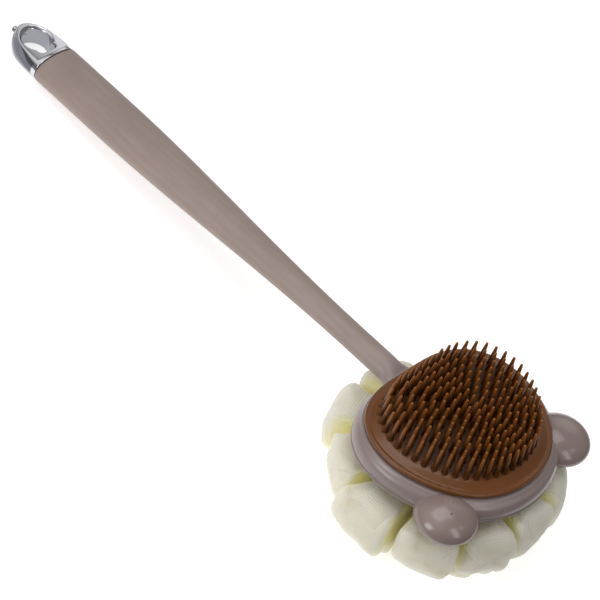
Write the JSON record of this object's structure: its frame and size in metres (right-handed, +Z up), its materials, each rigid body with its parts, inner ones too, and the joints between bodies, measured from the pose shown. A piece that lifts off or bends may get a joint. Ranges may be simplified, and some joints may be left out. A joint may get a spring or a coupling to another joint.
{
  "type": "bath brush",
  "caption": "Long-handled double-sided bath brush: a bear-shaped head with a soft bristle pad on top, a netting pouf below and a chrome hanging cap.",
  "frame": {"origin": "on the surface the brush lies on, under the middle of its box", "axes": "+Z up, +Y from the head toward the hanging cap, +X to the right seen from behind the cap; the head's own normal leans toward the cap by the angle at which the brush lies"},
  "size_m": [0.1332, 0.421, 0.0791],
  "materials": {
    "handle_plastic": "satin",
    "head_plastic": "gloss",
    "screw_steel": "satin",
    "chrome_cap": "polished",
    "dark_seal": "matte",
    "inner_plastic": "matte",
    "pad_silicone": "satin",
    "carrier_plastic": "matte",
    "hub_plastic": "satin",
    "tie_cord": "matte",
    "netting": "matte"
  },
  "bodies": {
    "pouf": {"pouf_hub": "hub_plastic", "pouf_core": "netting", "pouf_tie_cord": "tie_cord", "pouf_rosette": "netting", "pouf_loop_1": "netting", "pouf_loop_2": "netting", "pouf_loop_3": "netting", "pouf_loop_4": "netting", "pouf_loop_5": "netting", "pouf_loop_6": "netting", "pouf_loop_7": "netting", "pouf_loop_8": "netting", "pouf_loop_9": "netting", "pouf_loop_10": "netting", "pouf_loop_11": "netting", "pouf_lower_loop_1": "netting", "pouf_lower_loop_2": "netting", "pouf_lower_loop_3": "netting", "pouf_lower_loop_4": "netting", "pouf_lower_loop_5": "netting", "pouf_lower_loop_6": "netting", "pouf_lower_loop_7": "netting"},
    "brush": {"handle_shaft": "handle_plastic", "head_tray": "head_plastic", "left_ear": "head_plastic", "right_ear": "head_plastic", "handle_screws": "screw_steel", "back_cover": "head_plastic", "back_cover_screws": "screw_steel", "hanging_cap": "chrome_cap", "cap_seal": "dark_seal", "cap_plug": "inner_plastic"},
    "pad": {"brush_pad": "pad_silicone", "pad_carrier": "carrier_plastic"}
  },
  "joints": [
    {"name": "head_lift", "type": "slide", "parent": "pouf", "child": "brush", "axis": [0, 0.1248, 0.9922], "range_m": [0, 0.025]},
    {"name": "pad_lift", "type": "slide", "parent": "brush", "child": "pad", "axis": [0, 0.1248, 0.9922], "range_m": [0, 0.02]}
  ]
}
